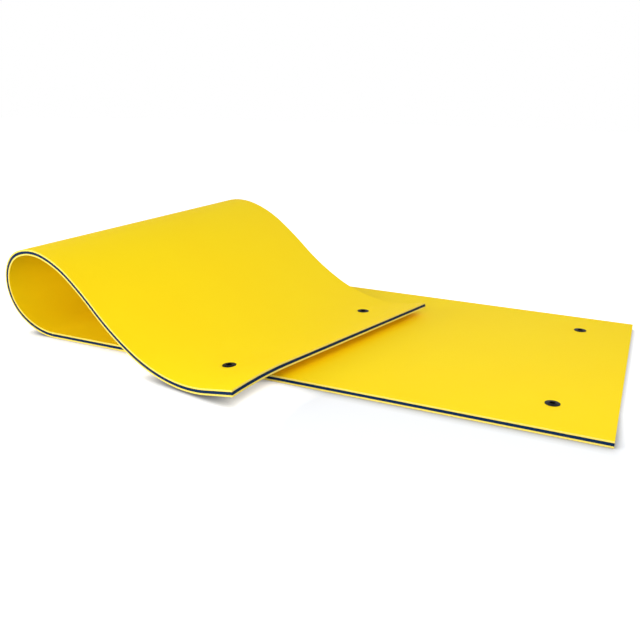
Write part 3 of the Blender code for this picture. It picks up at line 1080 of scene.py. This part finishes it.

# %% [markdown]
# ## The studio
#
# The mat lies on a white sweep under broad, soft light. To the camera the floor and the world look
# pure white, so only the places where the mat keeps light from the floor turn grey: that is the
# shadow. Close to the mat a painted contact shadow is added, darker where an occlusion test finds
# the mat near. Away from the mat's front right a camera-only glow paints the shadow out. On the
# light's way round the studio the floor is a mid grey, as a floor of a large dim room would be, so
# that the undersides of the mat and the inside of the loop stay deep in colour.

# %% Floor and backdrop
FLOOR_RADIUS = 30.0
FLOOR_SIDES = 64
FLOOR_DROP = 0.0005
PAPER_ROUGHNESS = 0.9
# the faint blue of the floor's seen colour offsets the yellow light that the mat throws into its
# shadow
FLOOR_SEEN, FLOOR_LIT = "#F6F8FB", "#A8A8A8"
# camera-only glow: weak by the mat's front right, strong further off, where it is painted light
# over the shadow
NEAR_GLOW, FAR_GLOW = 0.02, 0.62
GLOW_MIDDLE = (0.8, -1.2, 0.0)
GLOW_START, GLOW_END = 0.70, 0.95
# painted contact shadow: the floor's colour and glow darken where an occlusion test finds the mat
# within this reach
PAINTED_SHADOW_REACH = 0.075
PAINTED_SHADOW_DEPTH = 1.05


def seen_directly(tree):
    """A share that is 1 for the camera, mirrors and glass, and 0 for light on its way."""
    path = add(tree, "ShaderNodeLightPath").node.outputs
    rays = {0: path["Is Glossy Ray"], 1: path["Is Transmission Ray"]}
    mirrored = add(tree, "ShaderNodeMath", rays, operation="MAXIMUM")
    rays = {0: path["Is Camera Ray"], 1: mirrored}
    return add(tree, "ShaderNodeMath", rays, operation="MAXIMUM")


def white_sweep():
    """White paper, plain white to the camera, with a painted contact shadow near the mat and a glow
    that paints out the shadow away from its front right.
    """
    made, tree, shader = new_finish("white_paper_sweep", PAPER_ROUGHNESS)
    # painted contact shadow from an occlusion test, not from the lamps
    open_air = add(tree, "ShaderNodeAmbientOcclusion", {"Distance": PAINTED_SHADOW_REACH})
    openness = {0: open_air.node.outputs["AO"], 1: PAINTED_SHADOW_DEPTH}
    painted_contact_shadow = add(tree, "ShaderNodeMath", openness, operation="POWER")
    seen = seen_directly(tree)
    tones = {"Factor": seen, "A": linear(FLOOR_LIT), "B": linear(FLOOR_SEEN)}
    tone = add(tree, "ShaderNodeMix", tones, data_type="RGBA")
    shading = {"Factor": painted_contact_shadow, "A": linear("#000000"), "B": tone}
    shaded = add(tree, "ShaderNodeMix", shading, data_type="RGBA")
    place = add(tree, "ShaderNodeTexCoord").node.outputs["Object"]
    measured = {0: place, 1: GLOW_MIDDLE}
    reach = add(tree, "ShaderNodeVectorMath", measured, operation="DISTANCE").node
    rise = {
        "Value": reach.outputs["Value"],
        "From Min": GLOW_START,
        "From Max": GLOW_END,
        "To Min": NEAR_GLOW,
        "To Max": FAR_GLOW,
    }
    rising = add(tree, "ShaderNodeMapRange", rise)
    glowing = add(tree, "ShaderNodeMath", {0: seen, 1: rising}, operation="MULTIPLY")
    glow = add(tree, "ShaderNodeMath", {0: glowing, 1: painted_contact_shadow}, operation="MULTIPLY")
    shader["Emission Color"].default_value = (1.0, 1.0, 1.0, 1.0)
    tree.links.new(shaded, shader["Base Color"])
    tree.links.new(glow, shader["Emission Strength"])
    return made


disc = bmesh.new()
bmesh.ops.create_circle(disc, cap_ends=True, segments=FLOOR_SIDES, radius=FLOOR_RADIUS)
floor_mesh = bpy.data.meshes.new("floor")
disc.to_mesh(floor_mesh)
disc.free()
floor_mesh.transform(Matrix.Translation((0.0, 0.0, -FLOOR_DROP)))
floor_mesh.materials.append(white_sweep())
floor = put("floor", floor_mesh)

# %% World and lamps
WORLD_LIGHT = 0.53
LAMPS = {  # where each stands, what it faces, its side in metres and its power in watts
    "overhead": ((2.2, -1.6, 3.6), (1.0, -0.3, 0.0), 2.0, 42.0),
    "front": ((0.5, -7.0, 1.7), (-0.5, 0.0, 0.2), 3.2, 268.0),
    "left": ((-4.5, -5.0, 1.6), (-1.0, 0.0, 0.3), 2.0, 155.0),
    "back": ((0.0, 4.5, 3.5), (0.0, 0.0, 0.2), 2.5, 36.0),
}

world = bpy.data.worlds.new("studio")
bpy.context.scene.world = world
world.use_nodes = True
background = world.node_tree.nodes["Background"]
shares = {"Factor": seen_directly(world.node_tree), "A": WORLD_LIGHT, "B": 1.0}
seen_white = add(world.node_tree, "ShaderNodeMix", shares, data_type="FLOAT")
world.node_tree.links.new(seen_white, background.inputs["Strength"])
background.inputs["Color"].default_value = (1.0, 1.0, 1.0, 1.0)


def soft_box(name, place, target, size, power):
    """A square soft box that faces a point."""
    lamp = bpy.data.lights.new(name, "AREA")
    lamp.size = size
    lamp.energy = power
    box = put(name, lamp)
    box.location = place
    box.rotation_euler = (Vector(target) - Vector(place)).to_track_quat("-Z", "Y").to_euler()


for lamp_name, facts in LAMPS.items():
    soft_box(lamp_name, *facts)
bpy.context.scene.view_settings.view_transform = "Standard"
